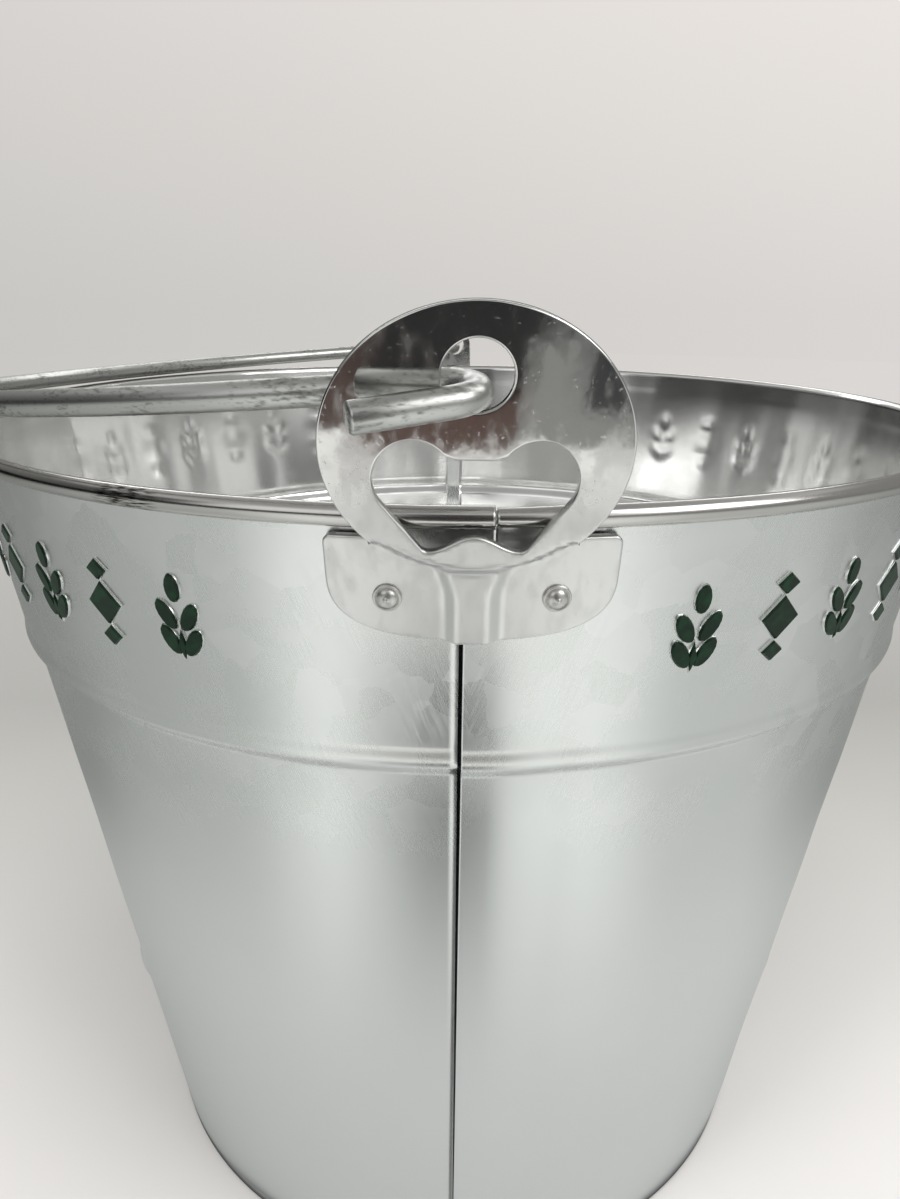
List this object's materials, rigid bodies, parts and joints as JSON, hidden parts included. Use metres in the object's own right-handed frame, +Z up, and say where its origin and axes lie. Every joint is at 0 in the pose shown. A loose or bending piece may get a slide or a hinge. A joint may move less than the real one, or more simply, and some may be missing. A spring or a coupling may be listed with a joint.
{
  "type": "beverage bucket",
  "caption": "Flared galvanised bucket with a rolled rim, a riveted bottle-opener ear, a plain ear and a hooked wire bail that swings over the mouth.",
  "frame": {"origin": "floor level under the centre of the bucket's base", "axes": "+Z up, -Y through the bottle-opener ear, the bail lies down to -X"},
  "size_m": [0.23, 0.2558, 0.2161],
  "materials": {
    "galvanised_sheet": "hot-dip galvanised sheet, faint spangle, semi-gloss, lightly scratched",
    "zinc_wire": "zinc coated drawn wire, flecked and lightly marked",
    "bright_plate": "bright nickel plated stamping, mirror disc and satin wings",
    "rivet_metal": "plain domed steel"
  },
  "bodies": {
    "bucket": {"right_shell": "galvanised_sheet", "left_shell": "galvanised_sheet", "base_pan": "galvanised_sheet", "rim_wire": "zinc_wire", "opener_ear": "bright_plate", "plain_ear": "bright_plate", "front_rivet_left": "rivet_metal", "front_rivet_right": "rivet_metal", "rear_rivet_left": "rivet_metal", "rear_rivet_right": "rivet_metal"},
    "bail": {"bail": "zinc_wire"}
  },
  "joints": [
    {"name": "bail_swing", "type": "hinge", "parent": "bucket", "child": "bail", "pos_m": [0, -0.0007, 0.20042], "axis": [0, 0.9992, -0.0402], "range_deg": [0, 186.5]}
  ]
}
